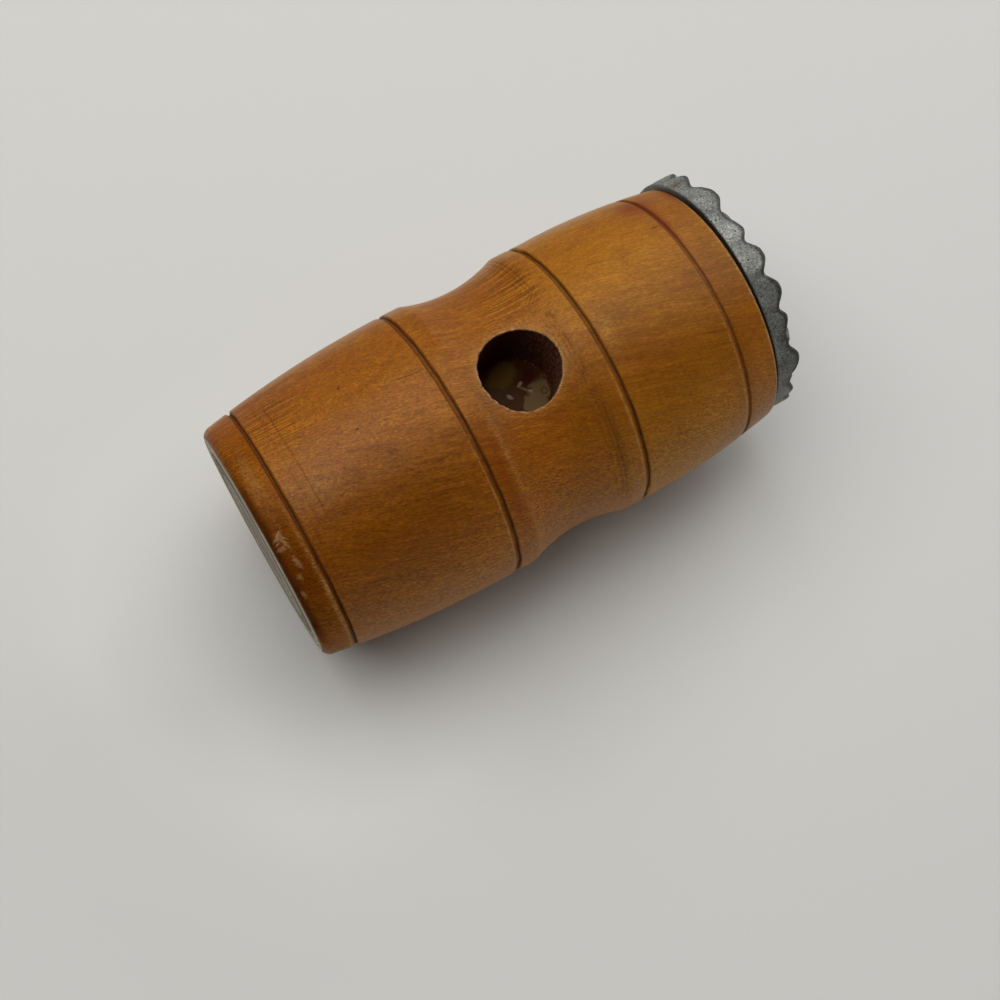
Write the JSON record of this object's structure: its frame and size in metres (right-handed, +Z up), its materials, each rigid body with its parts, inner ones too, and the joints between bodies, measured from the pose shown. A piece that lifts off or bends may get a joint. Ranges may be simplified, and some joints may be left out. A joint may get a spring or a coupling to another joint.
{
  "type": "meat tenderizer mallet head",
  "caption": "Waisted turned wooden mallet head with a blind handle socket and a round cast plate of pyramid teeth screwed to one end, for beating meat.",
  "frame": {"origin": "below the middle of the head's length, on the surface that the two bellies lie on", "axes": "+X along the barrel towards the toothed plate, +Z up along the handle socket, out of its mouth"},
  "size_m": [0.1094, 0.0576, 0.0575],
  "materials": {
    "wooden_head": "worn orange-brown varnish, satin",
    "toothed_plate": "dull sand-cast, tarnished",
    "plate_screw": "dull with a little rust",
    "dried_glue": "glossy amber film"
  },
  "bodies": {
    "root": {"wooden_head": "wooden_head", "toothed_plate": "toothed_plate", "plate_screw": "plate_screw", "dried_glue": "dried_glue"}
  },
  "joints": []
}
